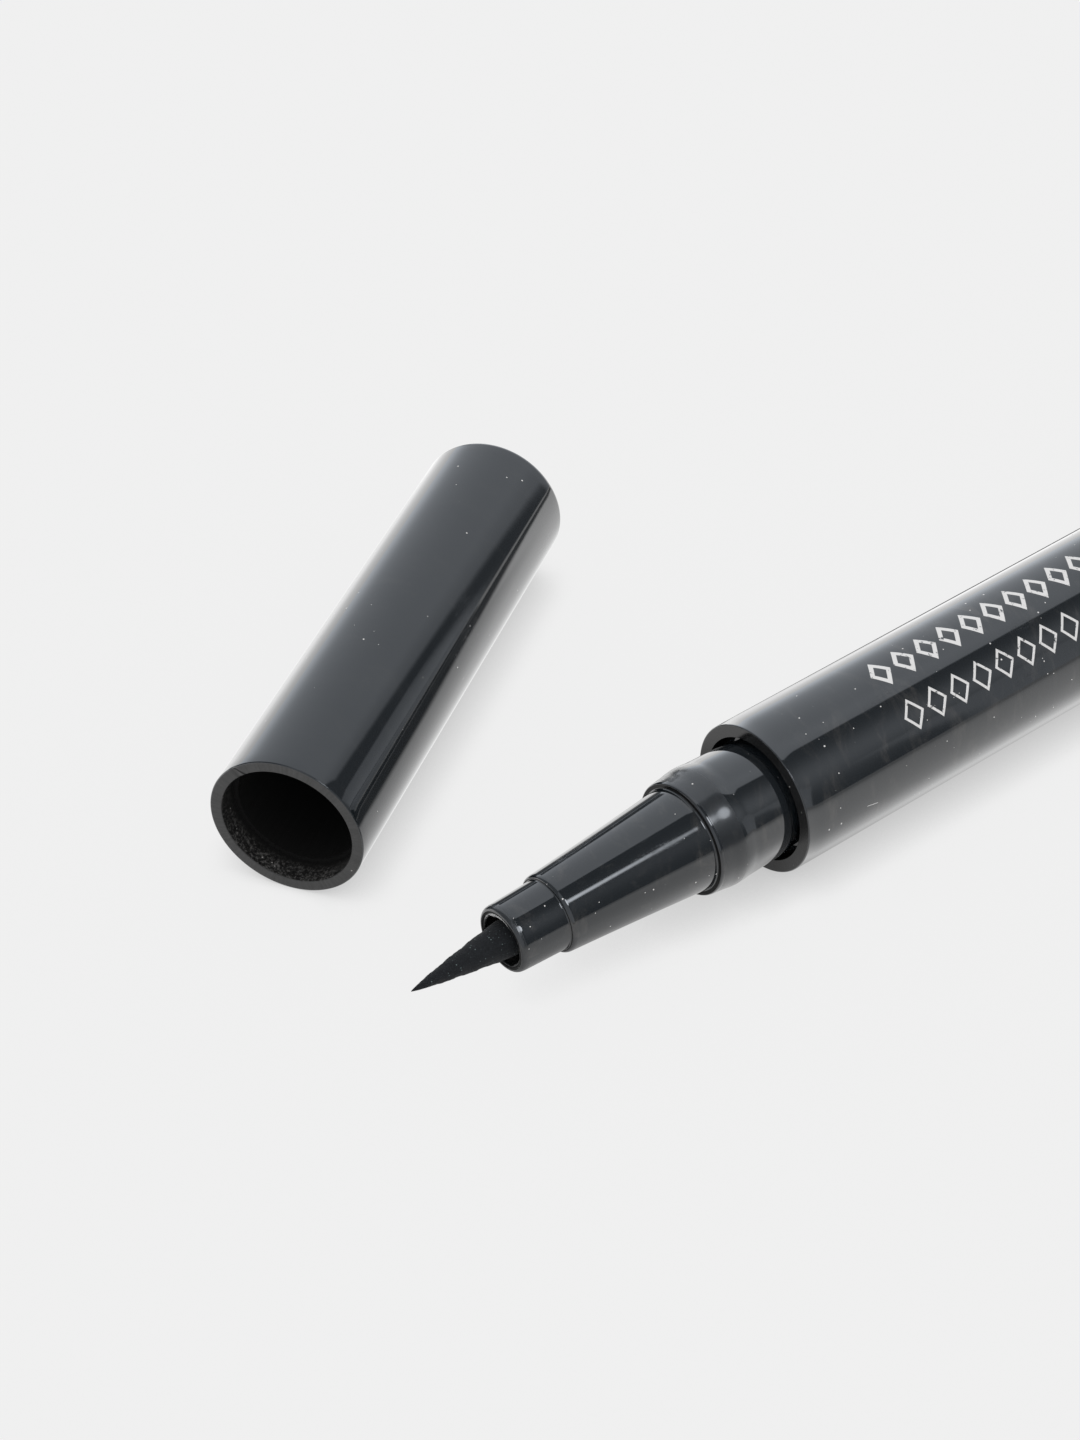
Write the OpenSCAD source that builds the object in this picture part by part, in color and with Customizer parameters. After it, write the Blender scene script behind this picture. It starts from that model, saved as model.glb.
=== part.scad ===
// Liquid eyeliner pen lying beside its cap. The pen's axis runs along X, the centre of the
// tail's end face is the origin, and the nib points towards -X. Sizes are in millimetres.

/* [Barrel] */
// Diameter of the barrel along its body
barrel_d = 11.1; // [10.9:0.05:12]
// Diameter of the barrel at its front face, where the cap stops
barrel_front_d = 10.74; // [10.5:0.02:10.86]
// Length of the barrel from its front face to the tail plug's head
barrel_l = 92.5; // [86:0.5:100]
// Length over which the barrel widens from its front face to its body
barrel_draft_l = 36; // [20:1:50]
// Diameter of the ink tank's bore
tank_d = 8.6; // [8.4:0.05:8.8]
// Outer diameter of the dark groove round the neck, in the front face
groove_d = 8.96; // [8.9:0.02:9.4]
// Depth of that groove
groove_depth = 1.1; // [0.7:0.1:1.8]

/* [Tail plug] */
// Length of the plug's head behind the barrel
tail_head_l = 5; // [3.5:0.1:7]
// Rounding of the head's rear edge
tail_round = 0.9; // [0.4:0.05:1.6]
// Length of the plug's skirt inside the tank
tail_skirt_l = 6; // [5:0.1:9]
// Wall of that skirt
tail_skirt_wall = 1; // [0.7:0.05:1.4]

/* [Front section] */
// Diameter of the neck at its crest, which the cap grips
neck_d = 8.7; // [8.5:0.02:8.76]
// Diameter of the neck where it leaves the barrel
neck_root_d = 7.94; // [7.7:0.02:8.2]
// Length of the neck from the barrel's front face to the cone
neck_l = 6.4; // [5.6:0.1:8]
// Diameter of the cone beside the neck
cone_d = 7.34; // [7:0.02:7.5]
// Diameter of the cone beside the nozzle
cone_tip_d = 5.46; // [5.3:0.02:5.8]
// Length of the cone
cone_l = 11.2; // [10:0.1:13]
// Diameter of the nozzle beside the cone
nozzle_d = 4.92; // [4.76:0.02:5.1]
// Diameter of the nozzle at its lip
nozzle_tip_d = 4.64; // [4.5:0.02:4.74]
// Length of the nozzle
nozzle_l = 3.7; // [3:0.1:5]
// Diameter of the bore that the nib comes out of
nozzle_bore_d = 3.72; // [3.4:0.02:3.84]
// Length of the spigot inside the barrel, behind the groove
spigot_l = 13; // [10:0.5:16]

/* [Nib and feed] */
// Diameter of the felt nib
nib_d = 2.5; // [2.2:0.02:2.6]
// Length of the nib's point outside the nozzle
nib_out_l = 7.05; // [5:0.05:8]
// Length of the nib inside the nozzle and its holder
nib_in_l = 11.8; // [10:0.1:13]
// Depth of the nib holder's mouth behind the nozzle's lip
holder_depth = 3.5; // [2:0.1:5]
// Diameter of the nib holder's rear flange
holder_flange_d = 5.2; // [4.8:0.05:5.6]
// Thickness of that flange
holder_flange_t = 1.2; // [0.8:0.1:1.6]
// Diameter of the fibre rod that feeds the nib
relay_d = 1.6; // [1.2:0.05:1.8]
// Length of the fibre rod that stands in the ink
relay_wet_l = 3; // [1:0.1:6]

/* [Collector] */
// Diameter of the collector's fins
fin_d = 6.4; // [6:0.05:6.5]
// Thickness of one fin
fin_t = 0.45; // [0.3:0.05:0.55]
// Distance from one fin to the next
fin_pitch = 0.95; // [0.8:0.05:1.3]
// Diameter of the collector's stem between the fins
stem_d = 3.4; // [2.6:0.05:4.2]
// Width of the capillary slit that crosses the fins
slit_w = 0.3; // [0.2:0.02:0.5]
// Width of the air notch on the fins' other side
notch_w = 1.2; // [0.8:0.05:1.8]
// Depth of that notch
notch_depth = 0.8; // [0.4:0.05:1.2]
// Length of the snout that reaches into the tank
snout_l = 4.2; // [3:0.1:8]

/* [Tank seal] */
// Width of the seal ring on the collector
seal_w = 2; // [1.4:0.1:3]
// Thickness of the seal ring between its land and the tank's wall
seal_t = 1; // [0.6:0.05:1.3]

/* [Mixing ball] */
// Diameter of the steel ball that stirs the ink
ball_d = 3; // [2.5:0.1:3.4]
// Place of the ball at rest, behind the barrel's front face
ball_rest_l = 62; // [40:1:74]

/* [Cap] */
// Diameter of the cap
cap_d = 11; // [10.9:0.05:11.8]
// Length of the cap
cap_l = 39; // [37.5:0.1:45]
// Diameter of the recess just inside the cap's mouth
mouth_d = 9.36; // [9.1:0.02:9.8]
// Depth of that recess
mouth_depth = 2; // [1:0.1:3]
// Length of the socket that grips the neck
socket_l = 10.5; // [8:0.1:10.8]
// Thickness of the cap's closed end
cap_end_t = 1.6; // [1.2:0.05:2.4]
// Rounding of the closed end's edge
cap_round = 0.7; // [0.3:0.05:1.3]

/* [Inner cap] */
// Diameter of the inner cap's bore, which seals on the cone
seal_bore_d = 5.9; // [5.84:0.02:6.1]
// Wall of the inner cap
inner_cap_wall = 0.65; // [0.5:0.05:0.8]
// Distance that the inner cap gives way on its spring
inner_cap_travel = 1.6; // [1:0.1:2.4]
// Thickness of the flange that the retainer ring holds
inner_cap_flange_t = 1.2; // [0.8:0.05:1.6]
// Width of the retainer ring
retainer_w = 2; // [1.5:0.1:3]

/* [Cap spring] */
// Length of the spring between the inner cap and the cap's floor
spring_l = 7.65; // [5:0.05:10]
// Diameter of the spring's wire
spring_wire_d = 0.45; // [0.3:0.01:0.5]
// Diameter of the coil at the middle of its wire
spring_d = 6.4; // [6.2:0.05:6.8]
// Turns of the spring
spring_turns = 7; // [5:1:9]

/* [Layout] */
// Distance of the cap's mouth ahead of the barrel's front face
cap_ahead = 25.9; // [20:0.1:40]
// Distance of the cap's mouth beside the pen's axis
cap_aside = 17.1; // [15:0.1:30]
// Turn of the cap away from the pen's axis, in degrees
cap_turn = 31.5; // [15:0.1:60]

/* [Hidden] */
$fn = 96;

// Clearance at the press fits, all round
press_gap = 0.01;
// Clearance at the loose fits, all round
loose_gap = 0.05;
// Clearance between the cap's socket and the neck's crest, all round
grip_gap = 0.03;
// Clearance round the inner cap's flange
slide_gap = 0.1;
// Clearance under and round the mixing ball
roll_gap = 0.05;
// Run of a cut past the faces that it opens
overrun = 1;

// Radii
barrel_r = barrel_d / 2;
barrel_front_r = barrel_front_d / 2;
tank_r = tank_d / 2;
groove_r = groove_d / 2;
neck_r = neck_d / 2;
neck_root_r = neck_root_d / 2;
cone_r = cone_d / 2;
cone_tip_r = cone_tip_d / 2;
nozzle_r = nozzle_d / 2;
nozzle_tip_r = nozzle_tip_d / 2;
nozzle_bore_r = nozzle_bore_d / 2;
nib_r = nib_d / 2;
relay_r = relay_d / 2;
fin_r = fin_d / 2;
stem_r = stem_d / 2;
ball_r = ball_d / 2;
cap_r = cap_d / 2;
mouth_r = mouth_d / 2;
seal_bore_r = seal_bore_d / 2;
spring_wire_r = spring_wire_d / 2;

// Small edges
barrel_round = 0.12;
rim_round = 0.1;
lip_round = 0.3;
lip_inner_round = 0.1;
cone_round = 0.35;
lead_in = 0.3;
// Step of the tail plug's head under the barrel, where the two meet
tail_seam = 0.05;

// Snap ribs that hold the section, the tail plug and the retainer ring in their bores
rib_h = 0.12;
rib_w = 1;
spigot_rib_l = 4;
skirt_rib_l = 3;

// The neck's outline: a flare out of the barrel up to the crest, a slow fall to the
// land's end, and a round shoulder down to the cone
flare_start_l = 0.25;
crest_share = 0.52;
land_share = 0.8;
land_drop = 0.05;
shoulder_drop = 0.33;

// Places along the pen, measured from the barrel's front face towards the tail
step_s = -neck_l;
crest_s = -neck_l * crest_share;
land_s = -neck_l * land_share;
cone_front_s = step_s - cone_l;
lip_s = cone_front_s - nozzle_l;
tip_s = lip_s - nib_out_l;
nib_rear_s = lip_s + nib_in_l;
holder_front_s = lip_s + holder_depth;
chamber_wall = 0.6;
chamber_s = step_s + chamber_wall;
holder_seat_s = chamber_s - holder_flange_t;
spigot_end_s = groove_depth + spigot_l;
flange_t = 1;
seal_s = spigot_end_s + flange_t;
snout_s = seal_s + seal_w + flange_t;
snout_end_s = snout_s + snout_l;
relay_end_s = snout_end_s + relay_wet_l;
skirt_s = barrel_l - tail_skirt_l;
face_x = -(barrel_l + tail_head_l);

// The front section's and the collector's inner sizes
spigot_r = tank_r - press_gap;
chamber_r = fin_r + loose_gap;
holder_r = nozzle_bore_r - press_gap;
holder_flange_r = holder_flange_d / 2;
feed_bore_r = relay_r + press_gap;
seal_land_r = tank_r - seal_t;
snout_wall = 0.9;
snout_r = relay_r + snout_wall;

// Places along the cap, measured from its mouth towards its closed end. The inner cap's
// lip meets the cone where the cone is as wide as the inner cap's bore.
socket_r = neck_r + grip_gap;
socket_end = mouth_depth + socket_l;
cone_slope = (cone_r - cone_tip_r) / cone_l;
seal_share = (cone_r - seal_bore_r) / (cone_slope * cone_l);
lip_closed = neck_l + cone_l * seal_share;
lip_x = lip_closed - inner_cap_travel;
cap_floor = cap_l - cap_end_t;
inner_cap_back = cap_floor - spring_l;
inner_cap_base_t = 1;
cavity_end = inner_cap_back - inner_cap_base_t;
flange_front = inner_cap_back - inner_cap_flange_t;
inner_cap_r = seal_bore_r + inner_cap_wall;
slide_bore_r = inner_cap_r + inner_cap_wall / 2 + slide_gap;
inner_flange_r = slide_bore_r - slide_gap;
retainer_x = flange_front - retainer_w;
boss_h = 1.2;
boss_r = (spring_d - spring_wire_d) / 2 - slide_gap;

// The spring's coils, the first and the last drawn close
dead_share = 1.3;
dead_pitch = spring_wire_d * dead_share;
live_pitch = (spring_l - spring_wire_d - 2 * dead_pitch) / (spring_turns - 2);
rings_per_turn = 12;
wire_sides = 8;

// A quarter of an ellipse that leaves p square to the axis and reaches q along the axis
function round_edge(p, q, steps = 8) = [
    for (i = [0:steps])
        let (a = 90 * i / steps)
            [p[0] + (q[0] - p[0]) * (1 - cos(a)), p[1] + (q[1] - p[1]) * sin(a)]
];

function flip(points) = [for (i = [len(points) - 1:-1:0]) points[i]];

// A low snap rib centred at s on a wall of radius r, standing h above it
function rib(s, r, h, w) = [[s - w / 2, r], [s - w / 4, r + h], [s + w / 4, r + h], [s + w / 2, r]];

// An outline of [place along X, radius] points turned about the X axis
module lathe(outline) {
    rotate([0, 90, 0])
        rotate_extrude()
            polygon([for (p = outline) [p[1], p[0]]]);
}

// Places a piece whose X starts at the barrel's front face
module on_pen() {
    translate([face_x, 0, 0])
        children();
}

// Places a piece whose X starts at the cap's mouth and runs to the closed end
module on_cap() {
    translate([face_x - cap_ahead, cap_aside, cap_r - barrel_r])
        rotate([0, 0, cap_turn])
            children();
}

// The barrel: a drafted tube that is the ink tank as well, open at both ends
module barrel() {
    color("#26282b")
        on_pen()
            lathe(concat(
                [[0, groove_r]],
                round_edge([0, barrel_front_r - barrel_round], [barrel_round, barrel_front_r]),
                [[barrel_draft_l, barrel_r], [barrel_l, barrel_r], [barrel_l, tank_r]],
                flip(rib(skirt_s + skirt_rib_l, tank_r, rib_h, rib_w + 2 * press_gap)),
                flip(rib(groove_depth + spigot_rib_l, tank_r, rib_h, rib_w + 2 * press_gap)),
                [[groove_depth, tank_r], [groove_depth, groove_r]]
            ));
}

// The tail plug: a round-edged head behind the barrel and a hollow skirt in the tank
module tail_plug() {
    skirt_r = tank_r - press_gap;
    head_r = barrel_r - tail_seam;
    head_end = barrel_l + tail_head_l;
    color("#232528")
        on_pen()
            lathe(concat(
                [[skirt_s, skirt_r - tail_skirt_wall], [skirt_s, skirt_r - lead_in]],
                [[skirt_s + lead_in, skirt_r]],
                rib(skirt_s + skirt_rib_l, skirt_r, rib_h, rib_w),
                [[barrel_l, skirt_r], [barrel_l, head_r]],
                flip(round_edge([head_end, head_r - tail_round], [head_end - tail_round, head_r])),
                [[head_end, 0], [barrel_l - tail_skirt_wall, 0]],
                [[barrel_l - tail_skirt_wall, skirt_r - tail_skirt_wall]]
            ));
}

// The front section: spigot, neck, cone and nozzle in one moulding, bored for the feed
module front_section() {
    land_r = neck_r - land_drop;
    color("#2b2d30")
        on_pen()
            lathe(concat(
                flip(round_edge([lip_s, nozzle_bore_r + lip_inner_round], [lip_s + lip_inner_round, nozzle_bore_r])),
                round_edge([lip_s, nozzle_tip_r - lip_round], [lip_s + lip_round, nozzle_tip_r]),
                [[cone_front_s, nozzle_r]],
                round_edge([cone_front_s, cone_tip_r - cone_round / 2], [cone_front_s + cone_round, cone_tip_r]),
                [[step_s, cone_r]],
                round_edge([step_s, neck_r - shoulder_drop], [land_s, land_r]),
                flip(round_edge([-flare_start_l, neck_root_r], [crest_s, neck_r])),
                [[groove_depth, neck_root_r], [groove_depth, spigot_r]],
                rib(groove_depth + spigot_rib_l, spigot_r, rib_h, rib_w),
                [[spigot_end_s - lead_in, spigot_r], [spigot_end_s, spigot_r - lead_in]],
                [[spigot_end_s, chamber_r], [chamber_s, chamber_r], [chamber_s, holder_flange_r + press_gap]],
                [[holder_seat_s, holder_flange_r + press_gap], [holder_seat_s, nozzle_bore_r]]
            ));
}

// The felt nib: a rod ground to a long point, its taper a little full
module nib() {
    point_l = nib_out_l + lip_round;
    fullness_share = 0.78;
    blunt_share = 0.03;
    taper_steps = 10;
    color("#17181a")
        on_pen()
            lathe(concat(
                [[tip_s, 0]],
                [
                    for (i = [0:taper_steps])
                        let (along = blunt_share + (1 - blunt_share) * i / taper_steps)
                            [tip_s + point_l * along, nib_r * pow(along, fullness_share)]
                ],
                [[nib_rear_s, nib_r], [nib_rear_s, 0]]
            ));
}

// The nib holder: a sleeve that grips the nib and centres the fibre rod behind it
module nib_holder() {
    color("#d9d6cf")
        on_pen()
            lathe([
                [holder_front_s, nib_r + press_gap], [holder_front_s, holder_r], [holder_seat_s, holder_r],
                [holder_seat_s, holder_flange_r], [chamber_s, holder_flange_r], [chamber_s, feed_bore_r],
                [nib_rear_s, feed_bore_r], [nib_rear_s, nib_r + press_gap]
            ]);
}

// The relay core: the fibre rod that carries ink from the tank to the nib
module relay_core() {
    color("#e8e4d8")
        on_pen()
            lathe([[nib_rear_s, 0], [nib_rear_s, relay_r], [relay_end_s, relay_r], [relay_end_s, 0]]);
}

// The collector: a comb of fins on a stem that takes up the ink which warmth drives out,
// crossed by a capillary slit below and an air notch above
module collector() {
    comb_l = spigot_end_s - chamber_s;
    fins = floor((comb_l - fin_t) / fin_pitch);
    flange_r = tank_r - loose_gap;
    comb = [
        for (i = [0:fins - 1])
            let (x = chamber_s + fin_pitch * i)
                each [[x, fin_r], [x + fin_t, fin_r], [x + fin_t, stem_r], [x + fin_pitch, stem_r]]
    ];
    color("#c9ccd0")
        on_pen()
            difference() {
                lathe(concat(
                    [[chamber_s, feed_bore_r]],
                    comb,
                    [[spigot_end_s, stem_r], [spigot_end_s, flange_r], [seal_s, flange_r]],
                    [[seal_s, seal_land_r], [seal_s + seal_w, seal_land_r], [seal_s + seal_w, flange_r]],
                    [[snout_s, flange_r], [snout_s, snout_r], [snout_end_s, snout_r]],
                    [[snout_end_s, feed_bore_r]]
                ));
                translate([chamber_s - overrun, -slit_w / 2, -fin_r - overrun])
                    cube([comb_l + overrun - fin_t, slit_w, fin_r + overrun - relay_r - snout_wall / 2]);
                translate([chamber_s - overrun, -notch_w / 2, fin_r - notch_depth])
                    cube([comb_l + overrun - fin_t, notch_w, notch_depth + overrun]);
            }
}

// The tank seal: a soft ring on the collector's land, pressed against the tank's wall
module tank_seal() {
    ring_outer = tank_r - press_gap;
    ring_inner = seal_land_r + press_gap;
    waist = seal_t / 6;
    color("#8e9296")
        on_pen()
            lathe([
                [seal_s, ring_inner], [seal_s, ring_outer - waist], [seal_s + seal_w / 4, ring_outer],
                [seal_s + seal_w / 2, ring_outer - waist], [seal_s + seal_w * 3 / 4, ring_outer],
                [seal_s + seal_w, ring_outer - waist], [seal_s + seal_w, ring_inner]
            ]);
}

// The mixing ball, lying on the tank's wall
module mixing_ball() {
    color("#b9bcc0")
        translate([face_x + ball_rest_l, 0, ball_r + roll_gap - tank_r])
            sphere(r = ball_r);
}

// The cap: mouth recess, socket for the neck, slide bore for the inner cap, spring boss
module cap_shell() {
    lead = mouth_r - socket_r;
    color("#242629")
        on_cap()
            lathe(concat(
                [[0, mouth_r]],
                round_edge([0, cap_r - rim_round], [rim_round, cap_r]),
                flip(round_edge([cap_l, cap_r - cap_round], [cap_l - cap_round, cap_r])),
                [[cap_l, 0], [cap_floor - boss_h, 0], [cap_floor - boss_h, boss_r]],
                [[cap_floor, boss_r], [cap_floor, slide_bore_r]],
                flip(rib(retainer_x + retainer_w / 2, slide_bore_r, rib_h, rib_w + 2 * press_gap)),
                [[socket_end, slide_bore_r], [socket_end, socket_r]],
                [[mouth_depth, socket_r], [mouth_depth - lead, mouth_r]]
            ));
}

// The inner cap: a cup that closes over the nozzle and seals on the cone
module inner_cap() {
    lip_edge = inner_cap_wall / 3;
    color("#3a3c40")
        on_cap()
            lathe([
                [lip_x, seal_bore_r], [lip_x, inner_cap_r - lip_edge], [lip_x + lip_edge, inner_cap_r],
                [flange_front, inner_cap_r], [flange_front, inner_flange_r], [inner_cap_back, inner_flange_r],
                [inner_cap_back, boss_r], [inner_cap_back + boss_h, boss_r], [inner_cap_back + boss_h, 0],
                [cavity_end, 0], [cavity_end, seal_bore_r]
            ]);
}

// The cap spring: one wire wound as a helix, its first and last turns drawn close
module cap_spring() {
    rings = spring_turns * rings_per_turn;
    rise = [
        for (i = [0:rings])
            let (t = i / rings_per_turn, live = min(max(t - 1, 0), spring_turns - 2))
                spring_wire_r + dead_pitch * (t - live) + live_pitch * live
    ];
    points = [
        for (i = [0:rings], j = [0:wire_sides - 1])
            let (a = 360 * i / rings_per_turn, b = 360 * j / wire_sides)
            let (r = spring_d / 2 + spring_wire_r * cos(b))
                [inner_cap_back + rise[i] + spring_wire_r * sin(b), r * cos(a), r * sin(a)]
    ];
    sides = [
        for (i = [0:rings - 1], j = [0:wire_sides - 1])
            let (k = (j + 1) % wire_sides, p = i * wire_sides, q = p + wire_sides)
                each [[p + j, q + j, q + k], [p + j, q + k, p + k]]
    ];
    ends = [
        for (j = [1:wire_sides - 2])
            each [[0, j, j + 1], [rings * wire_sides, rings * wire_sides + j + 1, rings * wire_sides + j]]
    ];
    color("#a8acb0")
        on_cap()
            polyhedron(points = points, faces = concat(sides, ends));
}

// The retainer ring: snapped into the slide bore, it stops the inner cap's flange
module retainer_ring() {
    ring_r = slide_bore_r - press_gap;
    ring_bore_r = inner_cap_r + loose_gap;
    color("#55585c")
        on_cap()
            lathe(concat(
                [[retainer_x, ring_bore_r], [retainer_x, ring_r]],
                rib(retainer_x + retainer_w / 2, ring_r, rib_h, rib_w),
                [[retainer_x + retainer_w, ring_r], [retainer_x + retainer_w, ring_bore_r]]
            ));
}

barrel();
tail_plug();
front_section();
nib();
nib_holder();
relay_core();
collector();
tank_seal();
mixing_ball();
cap_shell();
inner_cap();
cap_spring();
retainer_ring();
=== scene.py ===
# %% [markdown]
# A liquid eyeliner pen lies on a pale table beside its cap. Its body is glossy black plastic, so
# what the eye reads as its shape is mostly the room mirrored in it. The lesson therefore cares
# about three things: smooth outlines, a quiet studio to mirror, and the small marks of use.
#
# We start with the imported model. It is the frame that every piece is placed in, in metres.

import math

import bpy
import numpy as np
from mathutils import Matrix, Vector


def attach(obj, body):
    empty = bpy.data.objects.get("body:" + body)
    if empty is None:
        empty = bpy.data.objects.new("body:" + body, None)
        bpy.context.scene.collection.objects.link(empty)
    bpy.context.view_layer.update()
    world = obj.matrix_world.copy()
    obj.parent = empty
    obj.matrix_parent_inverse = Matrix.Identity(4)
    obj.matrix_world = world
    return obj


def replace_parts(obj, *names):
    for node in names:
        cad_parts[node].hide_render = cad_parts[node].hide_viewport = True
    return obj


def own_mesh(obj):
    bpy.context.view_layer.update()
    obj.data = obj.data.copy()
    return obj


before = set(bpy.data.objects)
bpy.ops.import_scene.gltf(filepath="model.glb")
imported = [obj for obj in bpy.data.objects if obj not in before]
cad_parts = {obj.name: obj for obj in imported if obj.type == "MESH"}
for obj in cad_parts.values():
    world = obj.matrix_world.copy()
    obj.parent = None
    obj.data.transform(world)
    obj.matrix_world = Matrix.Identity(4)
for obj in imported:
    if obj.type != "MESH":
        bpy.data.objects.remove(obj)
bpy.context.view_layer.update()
MM = 0.001
print("nodes:", sorted(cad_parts))

# %% [markdown]
# The camera stands where the photographer's did. Its place, its two angles and its lens were
# found beforehand by fitting the outlines of the pen and the cap, so here they are plain numbers.
# A camera looks along its own -Z with +Y up, so its turn is a matrix whose columns are the
# right, up and backward directions.

# %% The camera
CAMERA_AT = (-190.96, -94.02, 119.23)
CAMERA_AZIMUTH, CAMERA_DOWN, CAMERA_ROLL = 51.326, 40.445, 0.104
FOCAL_PX, LONG_SIDE_PX, SENSOR_MM = 2668.0, 1440.0, 36.0


def camera_turn(azimuth, down, roll):
    """Right, up and back as the columns of a matrix. The view direction is azimuth degrees from
    +X towards +Y and down degrees under the horizon, and roll turns the picture about it."""
    a, d, r = (math.radians(v) for v in (azimuth, down, roll))
    ahead = Vector((math.cos(d) * math.cos(a), math.cos(d) * math.sin(a), -math.sin(d)))
    level = Vector((math.sin(a), -math.cos(a), 0))
    rise = level.cross(ahead)
    right = level * math.cos(r) + rise * math.sin(r)
    up = rise * math.cos(r) - level * math.sin(r)
    return Matrix((right, up, -ahead)).transposed()


camera = bpy.data.objects.new("camera", bpy.data.cameras.new("camera"))
bpy.context.scene.collection.objects.link(camera)
camera.matrix_world = camera_turn(CAMERA_AZIMUTH, CAMERA_DOWN, CAMERA_ROLL).to_4x4()
camera.location = Vector(CAMERA_AT) * MM
camera.data.lens = FOCAL_PX / LONG_SIDE_PX * SENSOR_MM
camera.data.sensor_width = SENSOR_MM
camera.data.clip_start, camera.data.clip_end = 0.01, 10
bpy.context.scene.camera = camera
print("lens in mm:", round(camera.data.lens, 2))

# %% [markdown]
# Both the pen and the cap are bodies of revolution. We draw each as an outline of places along
# its axis and radii, in millimetres, and turn it. The pen's places start at the barrel's front
# face and run to the tail; the cap's start at its mouth and run to its closed end.

# %% Two axes to turn on
FACE_X = -97.5
CAP_AHEAD, CAP_ASIDE, CAP_TURN = 25.9, 17.1, math.radians(31.5)
FLOOR_Z = -5.55
CAP_AXIS_Z = -0.05

PEN = (np.array([FACE_X, 0.0, 0.0]), np.array([1.0, 0.0, 0.0]))
CAP = (
    np.array([FACE_X - CAP_AHEAD, CAP_ASIDE, CAP_AXIS_Z]),
    np.array([math.cos(CAP_TURN), math.sin(CAP_TURN), 0.0]),
)


def side_of(along):
    """The left-hand side, level, of one who looks along."""
    return np.cross([0.0, 0.0, 1.0], along)


def about(axis, s, r, angle):
    """Points in metres at place s and radius r about an axis. The angle runs from the axis's
    left-hand side up over its top: P = start + s * along + r * (cos * side + sin * up)."""
    start, along = axis
    s, r, angle = np.broadcast_arrays(s, r, angle)
    points = start + s[..., None] * along + (r * np.cos(angle))[..., None] * side_of(along)
    points[..., 2] += r * np.sin(angle)
    return points * MM


# %% [markdown]
# A grid of points becomes a mesh by joining each point to its neighbours. A turned piece is
# closed round the axis. Its outline either closes on itself, as on a tube, or begins and ends on
# the axis, where one row of the grid shrinks to a single point, the pole. Whether the faces look
# outwards shows in the sign of the volume that they enclose, so we measure it and turn them if
# need be. Edges sharper than an angle stay crisp, and everything else is shaded smooth.

# %% From outline to mesh
CRISP = math.radians(32)


def signed_volume(points, faces):
    """The sum over all triangles of corner . (corner x corner) / 6: positive where the faces look
    outwards. A face with four corners counts as two triangles."""
    total = 0.0
    for k in range(1, faces.shape[1] - 1):
        a, b, c = (points[faces[:, corner]] for corner in (0, k, k + 1))
        total += np.einsum("ij,ij->i", a, np.cross(b, c)).sum() / 6
    return total


def mesh_object(name, points, faces, crisp=CRISP, numbers=None):
    """A mesh from an array of points and a list of arrays of faces. numbers gives each face's
    material number."""
    centre = points.mean(0)
    volume = sum(signed_volume(points - centre, f) for f in faces)
    if volume < 0:
        faces = [f[:, ::-1] for f in faces]
    mesh = bpy.data.meshes.new(name)
    mesh.from_pydata(points.tolist(), [], [face for f in faces for face in f.tolist()])
    if numbers is not None:
        mesh.polygons.foreach_set("material_index", np.asarray(numbers, np.int32))
    mesh.shade_smooth()
    mesh.set_sharp_from_angle(angle=crisp)
    mesh.validate()
    piece = bpy.data.objects.new(name, mesh)
    bpy.context.scene.collection.objects.link(piece)
    print(f"{name}: {len(points)} points, volume {abs(volume) * 1e9:.1f} mm3")
    return piece


def grid_faces(rows, steps, closed):
    """Quads between neighbours in a grid of points: corners i, j; i, j + 1; i + 1, j + 1 and
    i + 1, j. The steps close round, and where closed is true the last row joins the first."""
    i, j = np.meshgrid(np.arange(rows if closed else rows - 1), np.arange(steps), indexing="ij")
    k, n = (i + 1) % rows, (j + 1) % steps
    return np.stack([i * steps + j, i * steps + n, k * steps + n, k * steps + j], -1)


def turned(name, axis, parts, steps=320, bend=None):
    """The surface P(u, v) = outline(u) carried once round the axis by v. parts lists the
    outline's rows of (place, radius), each part with its material number. bend(s, r, angle) may
    move the grid's places and radii before they are turned."""
    outline = np.concatenate([np.asarray(rows, float) for rows, number in parts])
    numbers = np.concatenate([np.full(len(rows), number) for rows, number in parts])
    to_pole = outline[0, 1] == 0 and outline[-1, 1] == 0
    angle = np.arange(steps) * 2 * np.pi / steps
    s = np.repeat(outline[:, :1], steps, 1)
    r = np.repeat(outline[:, 1:], steps, 1)
    if bend is not None:
        s, r = bend(s, r, np.broadcast_to(angle, s.shape))
    points = about(axis, s, r, angle).reshape(-1, 3)
    quads = grid_faces(len(outline), steps, not to_pole)
    numbers = np.repeat(numbers[:len(quads)], steps)
    if not to_pole:
        return mesh_object(name, points, [quads.reshape(-1, 4)], numbers=numbers)
    points = points[steps - 1:len(points) - steps + 1]
    quads = np.clip(quads - steps + 1, 0, len(points) - 1)
    faces = [quads[0][:, [2, 3, 0]], quads[1:-1].reshape(-1, 4), quads[-1][:, :3]]
    return mesh_object(name, points, faces, numbers=numbers)


def stands_for(piece, node, body):
    """The piece takes the CAD node's place and its body."""
    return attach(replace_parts(piece, node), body)


# %% [markdown]
# Outlines need a few curves. A moulded edge is a quarter of an ellipse, and a corner between two
# walls gets a small hollow curve, because a mould has no knife-sharp inner corners. Those
# curves catch the thin bright lines that make moulded plastic look real.

# %% Curves for outlines
def quarter(p, q, steps=12):
    """A quarter of an ellipse that leaves p square to the axis and reaches q along the axis:
    s goes with 1 - cos and r with sin."""
    a = np.linspace(0, np.pi / 2, steps + 1)
    return np.stack([p[0] + (q[0] - p[0]) * (1 - np.cos(a)), p[1] + (q[1] - p[1]) * np.sin(a)], -1)


def hollow(p, q, steps=8):
    """The same curve the other way about: it leaves p along the axis and reaches q square to it."""
    return quarter(q, p, steps)[::-1]


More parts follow.
